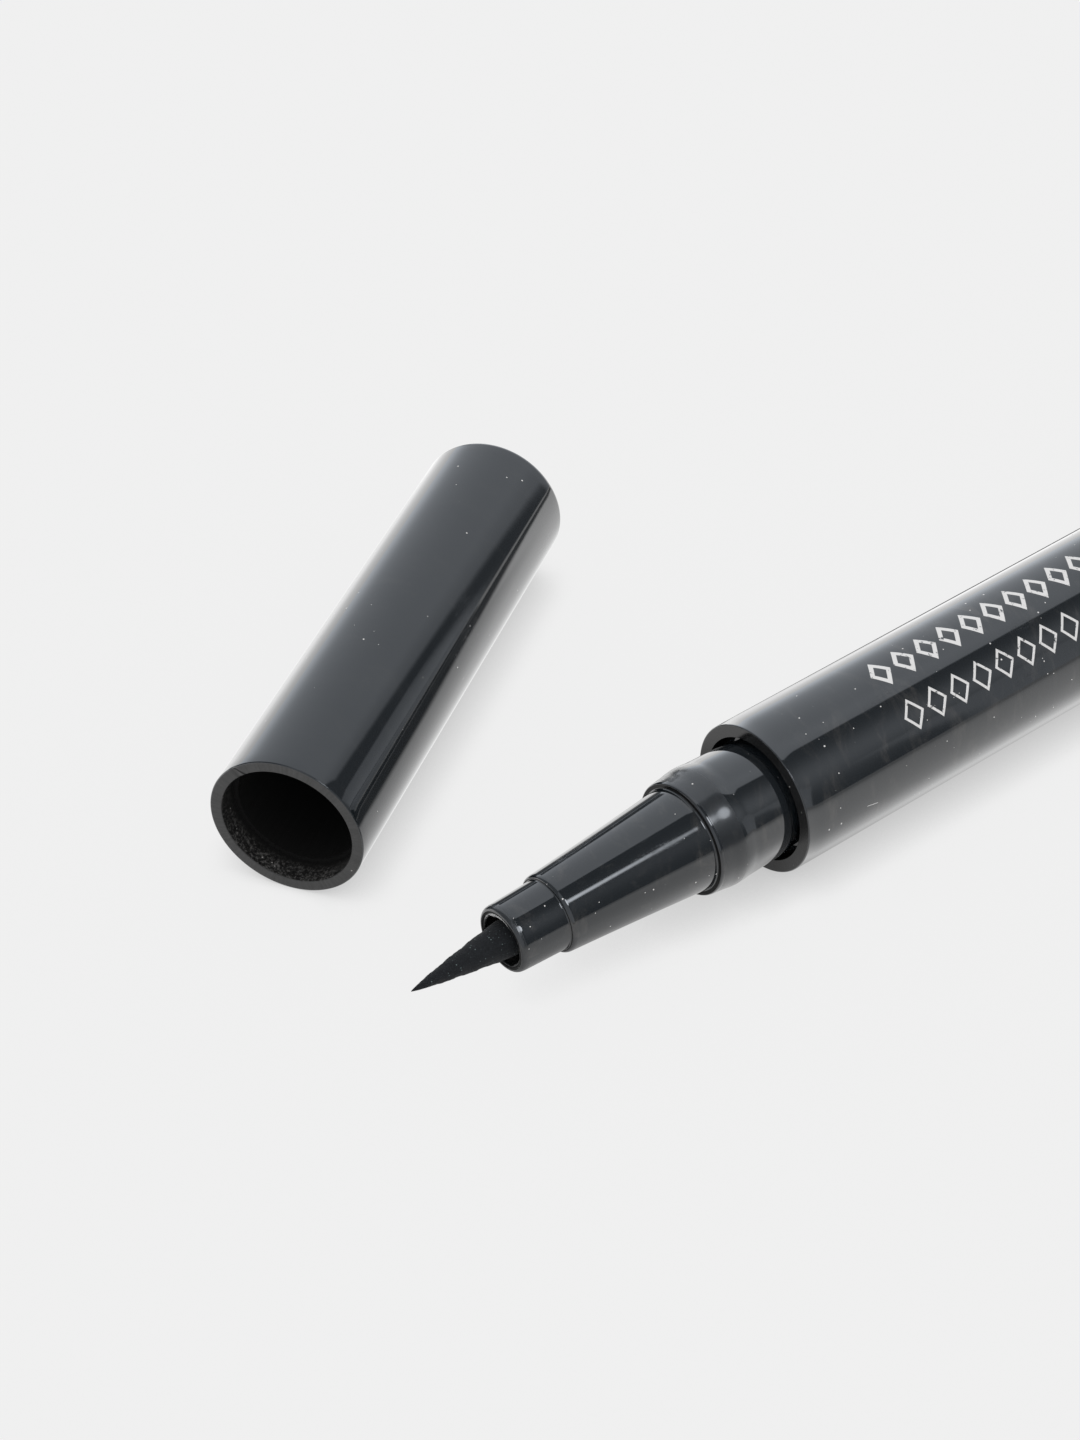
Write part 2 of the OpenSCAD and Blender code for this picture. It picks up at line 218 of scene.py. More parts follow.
def by_slope(places, degrees, start_r, step=0.02, ease=0.12):
    """A curve drawn by its slope: r(s) = start_r + the integral of tan(slope), with the slope given
    at some places, joined by straight lines and then averaged over a window of width ease. What a
    gloss surface mirrors depends on its slope, so this is the curve to draw one by."""
    s = np.arange(places[0], places[-1] + step / 2, step)
    wide = max(1, int(ease / step) // 2)
    slope = np.tan(np.radians(np.interp(s, places, degrees)))
    padded = np.pad(slope, wide, mode="edge")
    slope = np.convolve(padded, np.ones(2 * wide + 1) / (2 * wide + 1), "valid")
    r = start_r + np.concatenate([[0], np.cumsum((slope[1:] + slope[:-1]) / 2 * step)])
    return np.stack([s, r], -1)


print("a quarter edge:", quarter((0, 0), (1, 1), 3).round(2).tolist())

# %% [markdown]
# The barrel is also the ink tank: a long tube that widens by a hair's breadth from its front,
# so that it leaves the mould. Its front face is cut flat, with a groove round the neck. Its
# outer edge is softened. The first millimetre behind the edge is drawn in by a hundredth or so,
# which only the reflections show.

# %% The barrel
BARREL_R, FULL_R, FACE_R, BARREL_L, DRAFT_L = 5.55, 5.44, 5.37, 92.5, 36.0
TAPER_L, TAPER_DROP, EDGE = 1.3, 0.015, 0.08
TANK_R, GROOVE_R, GROOVE_DEPTH = 4.3, 4.48, 1.1
SKIN, FACE, WALL = range(3)


def barrel_outline():
    """Edge, taper, draft, body, tail end, bore, face; a closed loop. The taper's radius is
    FULL_R - TAPER_DROP * (1 - s / TAPER_L) ^ 1.3."""
    edge_r = FULL_R - TAPER_DROP
    s = np.linspace(0.2, TAPER_L, 14)
    taper = np.stack([s, FULL_R - TAPER_DROP * (1 - s / TAPER_L) ** 1.3], -1)
    s = np.linspace(1.6, DRAFT_L, 30)
    draft = np.stack([s, np.interp(s, [TAPER_L, DRAFT_L], [FULL_R, BARREL_R])], -1)
    body = [[s, BARREL_R] for s in (50, 65, 80, BARREL_L - 0.06)]
    rear = [[BARREL_L, BARREL_R - 0.05], [BARREL_L, TANK_R]]
    bore = [[60, TANK_R], [30, TANK_R], [GROOVE_DEPTH, TANK_R], [GROOVE_DEPTH, GROOVE_R],
            [0.04, GROOVE_R]]
    face = [[0, r] for r in (GROOVE_R + 0.04, *np.linspace(GROOVE_R + 0.2, FACE_R - 0.2, 5))]
    return [(quarter((0, edge_r - EDGE), (EDGE, edge_r), 10), SKIN), (taper, SKIN),
            (draft, SKIN), (body, SKIN), (rear, SKIN), (bore, WALL), (face, FACE)]


barrel = turned("barrel_body", PEN, barrel_outline(), 384)
stands_for(barrel, "barrel", "pen")

# %% [markdown]
# The front section is one moulding. From its tip: a lip round the bore, the nozzle, a step, the
# cone, a second step, and the neck that the cap snaps over. The neck rises to a low bead, falls
# a little behind it, and runs on almost straight into the barrel's groove.

# %% The front section
LIP, NOZZLE_END, CONE_END = -21.3, -17.6, -6.4
NOZZLE_TIP_R, NOZZLE_R, NOZZLE_BORE_R, NOZZLE_FLARE = 2.32, 2.46, 1.86, 0.007
CONE_TIP_R, CONE_R, CONE_SAG = 2.73, 3.67, 0.03
NECK_FRONT_R, NECK_ROOT_R = 4.11, 3.97
NECK_PLACES = (-6.1, -5.9, -5.6, -5.35, -5.1, -4.85, -4.6, -4.35, -4.1, -3.85, -3.6, -3.4,
               -3.15, -2.0, -0.4)
NECK_SLOPES = (6.4, 6.4, 5.8, 7.2, 10.3, 8.4, 5.5, 1, -3, -5.5, -7.5, -4, -1.5, -1.5, -2)
LAND_END = -4.4
CHAMBER_R, CHAMBER_S, SEAT_S, SEAT_R = 3.25, -5.8, -7.0, 2.61
SPIGOT_R, SPIGOT_END, SPIGOT_CHAMFER = 4.28, 14.1, 0.3
BORE, STEP, LAND = range(1, 4)


def section_outline():
    """The rows from the tip back and through the bore again, a closed loop, each with the number
    of its finish. The cone is a little hollow: its radius sags by 4 * CONE_SAG * u * (1 - u)
    under a straight line. The two step faces are flat rings between a hollow and a round edge."""
    s = np.linspace(LIP + 0.42, -18.2, 20)
    straight = np.interp(s, [LIP + 0.3, NOZZLE_END], [NOZZLE_TIP_R + 0.02, NOZZLE_R])
    nozzle = np.stack([s, straight - NOZZLE_FLARE * np.maximum(LIP + 1.3 - s, 0) ** 2], -1)
    s = np.linspace(-17.3, -7.0, 24)
    u = (s - NOZZLE_END) / (CONE_END - NOZZLE_END)
    straight = CONE_TIP_R + u * (CONE_R - CONE_TIP_R)
    cone = np.stack([s, straight - 4 * CONE_SAG * u * (1 - u)], -1)
    neck = by_slope(NECK_PLACES, NECK_SLOPES, NECK_FRONT_R)
    land = neck[:, 0] < LAND_END
    return [
        (hollow((LIP + 0.16, NOZZLE_BORE_R), (LIP, NOZZLE_BORE_R + 0.14), 6), BORE),
        (quarter((LIP, NOZZLE_TIP_R - 0.26), (LIP + 0.34, NOZZLE_TIP_R), 10), LAND),
        (nozzle, SKIN),
        (hollow((NOZZLE_END - 0.12, NOZZLE_R - 0.004), (NOZZLE_END, NOZZLE_R + 0.045), 6), SKIN),
        ([[NOZZLE_END, NOZZLE_R + 0.05], [NOZZLE_END, CONE_TIP_R - 0.165]], STEP),
        (quarter((NOZZLE_END, CONE_TIP_R - 0.16), (NOZZLE_END + 0.36, CONE_TIP_R + 0.024), 16),
         SKIN),
        (cone, SKIN),
        (hollow((CONE_END - 0.16, CONE_R - 0.015), (CONE_END, CONE_R + 0.06), 8), SKIN),
        ([[CONE_END, CONE_R + 0.07], [CONE_END, NECK_FRONT_R - 0.125]], STEP),
        (quarter((CONE_END, NECK_FRONT_R - 0.12), (CONE_END + 0.29, NECK_FRONT_R - 0.003), 12),
         SKIN),
        (neck[land], LAND),
        (neck[~land], SKIN),
        (hollow((-0.4, neck[-1, 1]), (-0.12, NECK_ROOT_R + 0.03), 10), SKIN),
        ([[GROOVE_DEPTH, NECK_ROOT_R], [GROOVE_DEPTH, SPIGOT_R],
          [SPIGOT_END - SPIGOT_CHAMFER, SPIGOT_R], [SPIGOT_END, SPIGOT_R - 0.28],
          [SPIGOT_END, CHAMBER_R]], SKIN),
        ([[CHAMBER_S, CHAMBER_R], [CHAMBER_S, SEAT_R], [SEAT_S, SEAT_R], [SEAT_S, NOZZLE_BORE_R],
          [-14.0, NOZZLE_BORE_R], [-20.6, NOZZLE_BORE_R]], BORE)]


front_section = turned("section_moulding", PEN, section_outline())
stands_for(front_section, "front_section", "pen")

# %% [markdown]
# The nib is a rod of pressed felt, ground to a long point. Felt isn't smooth: its taper is a
# little full, and fibres make its outline waver. A sum of a few sine waves that run round and
# along it is enough for the waver, and finer grain is left to the material.

# %% The felt nib
NIB_R, NIB_TIP, NIB_REAR, NIB_POINT_L, NIB_BARE_END = 1.25, -28.35, -9.5, 7.35, -20.9
FELT_WAVES = ((0.020, 1.9, 3, 0.6), (0.012, 0.83, -5, 0), (0.008, 0.41, 8, 1.9))


def felt_waver(s, r, angle):
    """Moves the radius by a few hundredths of a millimetre where the felt is bare, fading into
    the bore and at the very tip. FELT_WAVES lists the waves' height and length in millimetres,
    their count round the nib and their phase."""
    bare = np.clip((NIB_BARE_END - s) / 0.6, 0, 1) * np.clip((s - NIB_TIP) / 1.2, 0, 1)
    wave = sum(height * np.sin(2 * np.pi * s / length + count * angle + phase)
               for height, length, count, phase in FELT_WAVES)
    return s, r + wave * bare * np.minimum(1, r / 0.6)


along = np.concatenate([[0], np.geomspace(0.006, 1, 120)])
taper = np.stack([NIB_TIP + NIB_POINT_L * along, NIB_R * np.minimum(along ** 0.78, 1)], -1)
rod = [[s, NIB_R] for s in (-20.5, -19, -16, -12, -9.7)]
rear = [[NIB_REAR, NIB_R - 0.15], [NIB_REAR, 0]]
nib = turned("felt_nib", PEN, [(taper, SKIN), (rod, SKIN), (rear, SKIN)], 160, bend=felt_waver)
stands_for(nib, "nib", "pen")

# %% [markdown]
# Where the felt rubs the bore, dried ink builds up as a thin uneven crust on the inner edge of
# the lip. It is a band carried round the bore whose width and height change with the angle.

# %% The ink crust at the lip
CRUST_WAVES = ((1, 7, 0), (0.7, 13, 1), (0.5, 29, 2), (0.35, 53, 0))


def swell(angle, middle, wide):
    """exp(-(d / wide)^2), with d the shorter way round from middle, in degrees, to the angle."""
    d = np.mod(angle - math.radians(middle) + np.pi, 2 * np.pi) - np.pi
    return np.exp(-(d / wide) ** 2)


def crust_grid(steps=360, across=10):
    """P(u, v): v runs round the lip, u across the crust. Its inner edge reaches into the bore by
    a sum of sines of the angle, largest on the far upper side, and its back lies on the lip.
    CRUST_WAVES lists the sines' height, count round the lip and phase."""
    angle = np.arange(steps) * 2 * np.pi / steps
    far_side, near_side = swell(angle, 68, 0.8), swell(angle, 205, 0.5)
    ragged = sum(height * np.sin(count * angle + phase) for height, count, phase in CRUST_WAVES)
    mean = 0.04 + 0.15 * far_side + 0.07 * near_side
    spread = 0.014 + 0.04 * far_side + 0.02 * near_side
    width = 0.07 + np.maximum(mean + spread * ragged, 0.0)
    u = np.arange(across)[:, None] * 2 * np.pi / across
    r = NOZZLE_BORE_R + 0.05 - width / 2 + np.cos(u) * width / 2
    s = LIP + 0.17 + np.sin(u) * 0.13 + 0 * angle
    return about(PEN, s, r, angle)


crust = crust_grid()
crust_faces = grid_faces(*crust.shape[:2], True).reshape(-1, 4)
ink_crust = mesh_object("ink_crust", crust.reshape(-1, 3), [crust_faces], math.radians(60))
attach(ink_crust, "pen")

# %% [markdown]
# The tail is closed by a plug with a round-edged head. Its skirt is hidden in the tank.

# %% The tail plug
TAIL_END, HEAD_R, HEAD_ROUND, PLUG_R, PLUG_BORE_R = 97.5, 5.5, 0.9, 4.29, 3.29
skirt = [[91.5, 0], [91.5, PLUG_BORE_R], [86.5, PLUG_BORE_R], [86.5, PLUG_R - 0.3],
         [86.8, PLUG_R], [BARREL_L, PLUG_R], [BARREL_L, HEAD_R - 0.04], [92.54, HEAD_R],
         [94, HEAD_R], [95.5, HEAD_R]]
head = hollow((TAIL_END - HEAD_ROUND, HEAD_R), (TAIL_END, HEAD_R - HEAD_ROUND), 16)
end = [[TAIL_END, r] for r in (3.6, 2.4, 0.9, 0)]
tail_plug = turned("tail_cap", PEN, [(skirt, SKIN), (head, SKIN), (end, SKIN)])
stands_for(tail_plug, "tail_plug", "pen")

# %% [markdown]
# The cap is a blind tube. Its mouth is a flat ring with a small nick where the moulding's gate
# was cut, then a recess, and then the socket that grips the neck. The nick is a dent in the
# ring's outline near one angle.

# %% The cap
CAP_R, CAP_L, CAP_ROUND, MOUTH_R, MOUTH_DEPTH = 5.5, 39.0, 0.7, 4.68, 2.0
SOCKET_R, SOCKET_END, SLIDE_R, CAP_FLOOR, BOSS_R, BOSS_S = 4.38, 12.5, 4.025, 37.4, 2.875, 36.2
NICK_ANGLE, NICK_WIDE, NICK_DEPTH, FLAP_HEIGHT = math.radians(49), math.radians(2.2), 0.09, 0.03


def cap_outline():
    """Closed end, outside, mouth ring, and then recess, socket, bore and boss, from pole to
    pole."""
    end = [[CAP_L, r] for r in (0, 1.5, 3, 4.2)]
    rounded = quarter((CAP_L, CAP_R - CAP_ROUND), (CAP_L - CAP_ROUND, CAP_R), 20)
    side = [[s, CAP_R] for s in np.linspace(1, 37.5, 24)[::-1]]
    edge = quarter((0, CAP_R - 0.09), (0.1, CAP_R), 8)[::-1]
    ring = [[0, MOUTH_R + wide] for wide in (0.55, 0.4, 0.2, 0.05)]
    recess = [[0.05, MOUTH_R], [1.0, MOUTH_R], [MOUTH_DEPTH, MOUTH_R]]
    socket = [[s, SOCKET_R] for s in (MOUTH_DEPTH, 4, 8, SOCKET_END)]
    slide = [[s, SLIDE_R] for s in (SOCKET_END, 20, CAP_FLOOR)]
    boss = [[CAP_FLOOR, BOSS_R], [BOSS_S, BOSS_R], [BOSS_S, 0]]
    return [(end, SKIN), (rounded, SKIN), (side, SKIN), (edge[:-1], SKIN), (edge[-1:], FACE),
            (ring, FACE), (recess, WALL), (socket, WALL), (slide, WALL), (boss, WALL)]


def parting_nick(s, r, angle):
    """Dents the mouth ring by up to NICK_DEPTH within a few degrees of the nick's angle, and
    raises a low lip beside it, where a flap of flash was pressed flat."""
    turn = (angle - NICK_ANGLE) / NICK_WIDE
    ring = np.exp(-(s / 0.25) ** 2) * np.exp(-((r - 5.0) / 0.45) ** 2)
    flap = FLAP_HEIGHT * np.exp(-((turn - 2.4) / 1.3) ** 2)
    return s + ring * (NICK_DEPTH * np.exp(-turn ** 2) - flap), r


cap_body = turned("cap_body", CAP, cap_outline(), 384, bend=parting_nick)
stands_for(cap_body, "cap_shell", "cap")
print("cap wall at the mouth in mm:", round(CAP_R - MOUTH_R, 2))

# %% [markdown]
# Deep in the socket waits the inner cap, a cup that closes over the nozzle. A spring behind it
# lets it give way by 1.6 mm. The spring is one wire wound as a helix, its first and last turns
# drawn close, so its rise isn't a straight line but one with slow ends.

# %% The inner cap and its spring
INNER_LIP, INNER_BACK, INNER_CAVITY, INNER_R, SEAL_BORE_R = 13.379, 29.75, 28.75, 3.6, 2.95
FLANGE_FRONT, FLANGE_R, BOSS_H = 28.55, 3.925, 1.2
SPRING_L, SPRING_R, WIRE_R, TURNS, TRAVEL = 7.65, 3.2, 0.225, 7, 1.6

cavity = [
    ([[INNER_CAVITY, 0], [INNER_CAVITY, SEAL_BORE_R - 0.4]], SKIN),
    (quarter((INNER_CAVITY, SEAL_BORE_R - 0.4), (INNER_CAVITY - 0.4, SEAL_BORE_R), 6), SKIN),
    ([[22, SEAL_BORE_R], [INNER_LIP + 0.1, SEAL_BORE_R], [INNER_LIP, SEAL_BORE_R + 0.08]], SKIN)]
shell = [
    (quarter((INNER_LIP, INNER_R - 0.22), (INNER_LIP + 0.22, INNER_R), 8), SKIN),
    ([[20, INNER_R], [FLANGE_FRONT - 0.02, INNER_R], [FLANGE_FRONT, INNER_R + 0.02],
      [FLANGE_FRONT, FLANGE_R], [INNER_BACK, FLANGE_R], [INNER_BACK, BOSS_R],
      [INNER_BACK + BOSS_H, BOSS_R - 0.1], [INNER_BACK + BOSS_H, 0]], SKIN)]
inner_cup = turned("inner_cup", CAP, cavity + shell, 256)
stands_for(inner_cup, "inner_cap", "inner_cap")


def helix(steps=840, sides=14):
    """C(t) = rise(t) * along + R * (cos t * side + sin t * up), with a round wire about it. rise
    climbs by 1.3 wires a turn in the first and last turn and evenly between."""
    t = np.linspace(0, TURNS, steps)
    close = 2 * WIRE_R * 1.3
    live = (SPRING_L - 2 * WIRE_R - 2 * close) / (TURNS - 2)
    open_turns = np.clip(t - 1, 0, TURNS - 2)
    rise = INNER_BACK + WIRE_R + close * (t - open_turns) + live * open_turns
    a = 2 * np.pi * t[:, None]
    b = (np.arange(sides) * 2 * np.pi / sides)[None]
    return about(CAP, rise[:, None] + WIRE_R * np.sin(b), SPRING_R + WIRE_R * np.cos(b), a)


wire = helix()
steps, sides = wire.shape[:2]
fan = np.arange(1, sides - 1)
first = np.stack([0 * fan, fan + 1, fan], -1)
last = np.stack([0 * fan, fan, fan + 1], -1) + (steps - 1) * sides
tube = grid_faces(steps, sides, False).reshape(-1, 4)
spring = mesh_object("spring_wire", wire.reshape(-1, 3), [tube, first, last])
stands_for(spring, "cap_spring", "cap")
floor_centre = about(CAP, CAP_FLOOR, 0.0, 0.0)
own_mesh(spring)

# %% [markdown]
# A material is a net of nodes. Here each call adds a node and hands back its output, so a
# pattern reads like a formula. Patterns are laid out in the object's own coordinates, which
# are metres here, so a noise of scale 1000 has grains of about a millimetre.

# %% Nets of nodes
PLASTIC_IOR, MICRON = 1.5, 0.000001


class Net:
    """Nodes as calls. Inputs are given by name or number, as values or as other nodes' outputs."""

    def __init__(self, owner):
        owner.use_nodes = True
        self.tree = owner.node_tree
        self.tree.nodes.clear()

    def node(self, kind, inputs=(), **settings):
        node = self.tree.nodes.new(kind)
        for name, value in settings.items():
            setattr(node, name, value)
        for key, value in dict(inputs).items():
            if isinstance(value, bpy.types.NodeSocket):
                self.tree.links.new(value, node.inputs[key])
            else:
                node.inputs[key].default_value = value
        return node

    def add(self, kind, inputs=(), output=0, **settings):
        return self.node(kind, inputs, **settings).outputs[output]

    def math(self, operation, *values):
        return self.add("ShaderNodeMath", enumerate(values), operation=operation)

    def total(self, first, *rest):
        for value in rest:
            first = self.math("ADD", first, value)
        return first

    def times(self, first, *rest):
        for value in rest:
            first = self.math("MULTIPLY", first, value)
        return first

    def less(self, a, b):
        return self.math("SUBTRACT", a, b)

    def gap(self, a, b):
        """|a - b|"""
        return self.math("ABSOLUTE", self.less(a, b))

    def weigh(self, base, *parts):
        """base + the sum of value * weight over the parts, each (value, weight)."""
        return self.total(base, *(self.times(value, weight) for value, weight in parts))

    def steps(self, value, low, high, start=0.0, end=1.0, smooth=True):
        """value carried from low..high to start..end, with soft ends, and held outside them. low
        may lie above high."""
        kind = "SMOOTHSTEP" if smooth else "LINEAR"
        wires = {"Value": value, "From Min": low, "From Max": high, "To Min": start, "To Max": end}
        return self.add("ShaderNodeMapRange", wires, interpolation_type=kind)

    def dimmed(self, level, share, rest):
        """level, brought down to the part called rest of it where share is 1."""
        return self.times(level, self.steps(share, 0.0, 1.0, 1.0, rest, smooth=False))

    def noise(self, where, scale, detail=2.0, roughness=0.5, distortion=0.0):
        return self.add("ShaderNodeTexNoise", {
            "Vector": where, "Scale": scale, "Detail": detail, "Roughness": roughness,
            "Distortion": distortion})

    def drawn(self, *ways, detail=2.0, roughness=0.5, distortion=0.0):
        """A noise drawn out along some directions: ways lists up to three as (place, scale)."""
        places = enumerate(self.times(place, scale) for place, scale in ways)
        where = self.add("ShaderNodeCombineXYZ", places)
        return self.noise(where, 1.0, detail, roughness, distortion)

    def mix(self, share, a, b):
        """From a to b as share goes from 0 to 1."""
        return self.add("ShaderNodeMix", {0: share, 2: a, 3: b}, data_type="FLOAT")

    def blend(self, share, a, b):
        """The same for colours."""
        return self.add("ShaderNodeMix", {0: share, 6: a, 7: b}, output=2, data_type="RGBA")

    def bump(self, height, distance, normal=None):
        wires = {"Height": height, "Distance": distance, "Strength": 1.0}
        if normal is not None:
            wires["Normal"] = normal
        return self.add("ShaderNodeBump", wires)

    def dot(self, a, b):
        return self.add("ShaderNodeVectorMath", {0: a, 1: b}, output=1, operation="DOT_PRODUCT")

    def surface(self, colour, rough, skin, more=()):
        """Ends a material with one principled shader. more holds further inputs."""
        wires = {"Base Color": colour, "Roughness": rough, "IOR": PLASTIC_IOR, "Normal": skin}
        shader = self.add("ShaderNodeBsdfPrincipled", wires | dict(more))
        self.node("ShaderNodeOutputMaterial", {"Surface": shader})


def started(name):
    """A new material and its net."""
    material = bpy.data.materials.new(name)
    return material, Net(material)


def grey(level, warm=0.0):
    """A linear colour of one level, a little warmer or cooler."""
    return (level * (1 + warm), level, level * (1 - warm), 1)


print("a warm grey:", grey(0.5, 0.1))

# %% [markdown]
# On a turned piece, marks follow the turning: scratches run along it, a cutter's marks run
# round or outwards. So each material can ask for the place along the axis, the angle round it and
# the distance from it, worked out from the object coordinates.

# %% Places on a turned piece
def turned_places(net, axis):
    """s = (P - start) . along, angle = atan2(P . up, P . side) and r, in metres and radians."""
    start, along = axis
    place = net.add("ShaderNodeTexCoord", output=3)
    away = {0: place, 1: tuple(start * MM)}
    away = net.add("ShaderNodeVectorMath", away, operation="SUBTRACT")
    s = net.dot(away, tuple(along))
    y = net.dot(away, tuple(side_of(along)))
    z = net.dot(away, (0, 0, 1))
    angle = net.math("ARCTAN2", z, y)
    r = net.math("SQRT", net.total(net.times(y, y), net.times(z, z)))
    return place, s, angle, r


for name, (start, along) in (("pen", PEN), ("cap", CAP)):
    print(f"the {name}'s side:", side_of(along).round(3).tolist())

# %% [markdown]
# Gloss black plastic has hardly any colour of its own. Its look is two clear reflections: one
# from the lacquer-like skin and one from the plastic below, so the shader has a full coat over
# a smooth base. What tells the eye that it is real plastic is dust, hairline scratches, and a
# skin that isn't perfectly flat.
#
# Dust comes in layers. Each has the size of a cell in millimetres, the share of the cells that
# hold a speck, and the largest speck's radius in millimetres.

# %% Dust, scratches and skin
SKIN_DUST = (0.55, 0.4, 0.08), (2.3, 0.25, 0.11)
CLEAN_DUST = (0.55, 0.12, 0.08), (2.3, 0.25, 0.11)
CUT_DUST = (0.5, 0.3, 0.07), (1.4, 0.25, 0.12)
BORE_DUST = (0.4, 0.5, 0.07), (1.2, 0.4, 0.16)
FELT_DUST = (0.17, 0.5, 0.05), (0.45, 0.4, 0.08)
BLACK, SKIN_ROUGH, COAT_ROUGH = 0.011, 0.055, 0.045
HAIR_SCALE, HAIR_BAND = 9000, 0.006
EASE_L, EASE_HEIGHT = 1.4, 0.03


def dust(net, where, layers):
    """Round specks: a cell of the cell pattern holds one where its own random number is above
    1 - chance, and the speck's radius is that number's share of size."""
    specks = []
    for cell, chance, size in layers:
        cells = net.node("ShaderNodeTexVoronoi", {"Vector": where, "Scale": 1 / (cell * MM)})
        luck = net.add("ShaderNodeSeparateColor", {0: cells.outputs["Color"]})
        share = net.steps(luck, 1 - chance, 1, smooth=False)
        reach = net.less(net.times(share, size / cell), cells.outputs["Distance"])
        specks.append(net.steps(reach, 0.0, 0.25 * size / cell))
    return net.math("MAXIMUM", *specks)


def scratches(net, s, arc):
    """Hairlines: a noise stretched twenty times along s, of which only a thin band of values
    counts, broken up by a second noise."""
    long = net.drawn((s, HAIR_SCALE / 20), (arc, HAIR_SCALE), detail=3.0, roughness=0.6)
    line = net.steps(net.gap(long, 0.5), HAIR_BAND, 0.0)
    return net.times(line, net.steps(net.drawn((s, 160), (arc, 300)), 0.58, 0.7))


def front_ease(net, s):
    """A normal-only flare behind the barrel's face. With x the distance in mm to the place where
    it begins, the height is 0.03 * x^2.5, so its slope grows slowly to an eighth at the face."""
    x = net.math("MAXIMUM", net.less(EASE_L, net.times(s, 1000)), 0.0)
    return net.bump(net.times(net.math("POWER", x, 2.5), EASE_HEIGHT), MM)


def glossy_black(name, axis, marks=None, ease=None, coat=1.0, haze=0.0, rubbed=0.0,
                 layers=SKIN_DUST, worn=0.5):
    """Near-black skin with a coat. marks(net, place, s, angle) may add a pale layer, and
    ease(net, s) a normal that stands in for a soft edge. haze and rubbed are the roughness
    that the cap's grip has added to the coat and to the plastic below. layers are its dust, and
    worn is the strength of the pale marks of rubbing."""
    material, net = started(name)
    place, s, angle, _ = turned_places(net, axis)
    arc = net.times(angle, CAP_R * MM)
    specks = dust(net, place, layers)
    hair = scratches(net, s, arc)
    cloud = net.noise(place, 190, 3.0)
    smear = net.steps(net.drawn((s, 90), (arc, 420), detail=4.0, roughness=0.6), 0.45, 0.75)
    rub = net.drawn((s, 620), (arc, 210), detail=5.0, roughness=0.72, distortion=0.6)
    rub = net.times(net.steps(rub, 0.5, 0.78), worn)
    colour = net.blend(cloud, grey(BLACK * 0.8, -0.28), grey(BLACK * 1.2, -0.2))
    colour = net.blend(net.times(hair, 0.25), colour, grey(0.09))
    colour = net.blend(rub, colour, grey(0.07, 0.06))
    rough = net.weigh(SKIN_ROUGH + rubbed, (smear, 0.045), (hair, 0.2), (specks, 0.5))
    height = net.weigh(0.0, (net.noise(place, 700), 0.35), (hair, -0.25), (specks, 2.0))
    if marks is not None:
        pale = marks(net, place, s, angle)
        colour = net.blend(pale, colour, grey(0.72, 0.01))
        rough = net.weigh(rough, (pale, 0.25))
        height = net.weigh(height, (pale, 1.5))
    colour = net.blend(specks, colour, grey(0.7, 0.02))
    skin = net.bump(height, 4 * MICRON, ease(net, s) if ease else None)
    net.surface(colour, rough, skin, {
        "Coat Weight": coat, "Coat Roughness": COAT_ROUGH + haze, "Coat IOR": PLASTIC_IOR,
        "Coat Normal": skin})
    return material


print("one dust cell on the skin in mm:", SKIN_DUST[0][0])

# %% [markdown]
# The barrel carries two rows of white lozenges, thick in the upper row and thin in the lower one,
# rubbed in places. A lozenge ring is where |u| / a + |v| / b lies near one, with u the place
# within a mark along the barrel and v the way round it.

# %% The barrel's rows of marks
PITCH, ROWS_START, MARK_GAP, ROWS_R = 2.15, 9.8, 0.16, 5.42
ROWS = ((92.5, 2.54, 44.0, 0.17), (131.5, 2.33, 35.0, 0.11))


def lozenge_row(net, s, angle, middle, tall, run, stroke):
    """1 on the strokes of a row of lozenge rings, 0 elsewhere. middle is in degrees round the
    barrel; a mark's height, the row's length and half the stroke are in millimetres."""
    start, end = ROWS_START, ROWS_START + round(run / PITCH) * PITCH
    wrapped = net.math("WRAP", net.times(s, 1000), start + PITCH, start)
    u = net.gap(wrapped, start + PITCH / 2)
    v = net.times(net.gap(angle, math.radians(middle)), ROWS_R)
    half_u, half_v = PITCH / 2 - MARK_GAP, tall / 2
    tilt = half_u * half_v / math.hypot(half_u, half_v)
    reach = net.weigh(0.0, (u, 1 / half_u), (v, 1 / half_v))
    off = net.times(net.gap(reach, 1 - stroke / tilt), tilt)
    ring = net.steps(off, stroke, stroke - 0.03)
    begun = net.math("GREATER_THAN", s, start * MM)
    ended = net.math("LESS_THAN", s, end * MM)
    return net.times(ring, begun, ended)


def deep_scratch(net, s, angle):
    """One dash a millimetre long, low on the barrel's near side, that leans as it goes."""
    u = net.less(net.times(s, 1000), 5.72)
    centre = net.weigh(math.radians(178.4), (u, math.radians(2.29)))
    off = net.times(net.gap(angle, centre), 5.4)
    across = net.steps(off, 0.035, 0.015)
    return net.times(across, net.steps(net.gap(u, 0.0), 0.55, 0.4))


def barrel_marks(net, place, s, angle):
    """Both rows, rubbed off where a fine noise is low, and the scratch."""
    rows = net.math("MAXIMUM", *(lozenge_row(net, s, angle, *row) for row in ROWS))
    left = net.steps(net.noise(place, 2600, 3.0, 0.65), 0.3, 0.42)
    scratch = net.times(deep_scratch(net, s, angle), 0.8)
    return net.math("MAXIMUM", net.times(rows, left), scratch)


barrel_black = glossy_black("barrel_black", PEN, marks=barrel_marks, ease=front_ease)
section_black = glossy_black("section_black", PEN)
land_black = glossy_black("land_black", PEN, haze=0.09, rubbed=0.3)
cap_black = glossy_black("cap_black", CAP, coat=0.65, layers=CLEAN_DUST, worn=0.1)
plug_black = glossy_black("plug_black", PEN, layers=CLEAN_DUST, worn=0.2)
print("marks in the rows:", [round(run / PITCH) for middle, tall, run, stroke in ROWS])

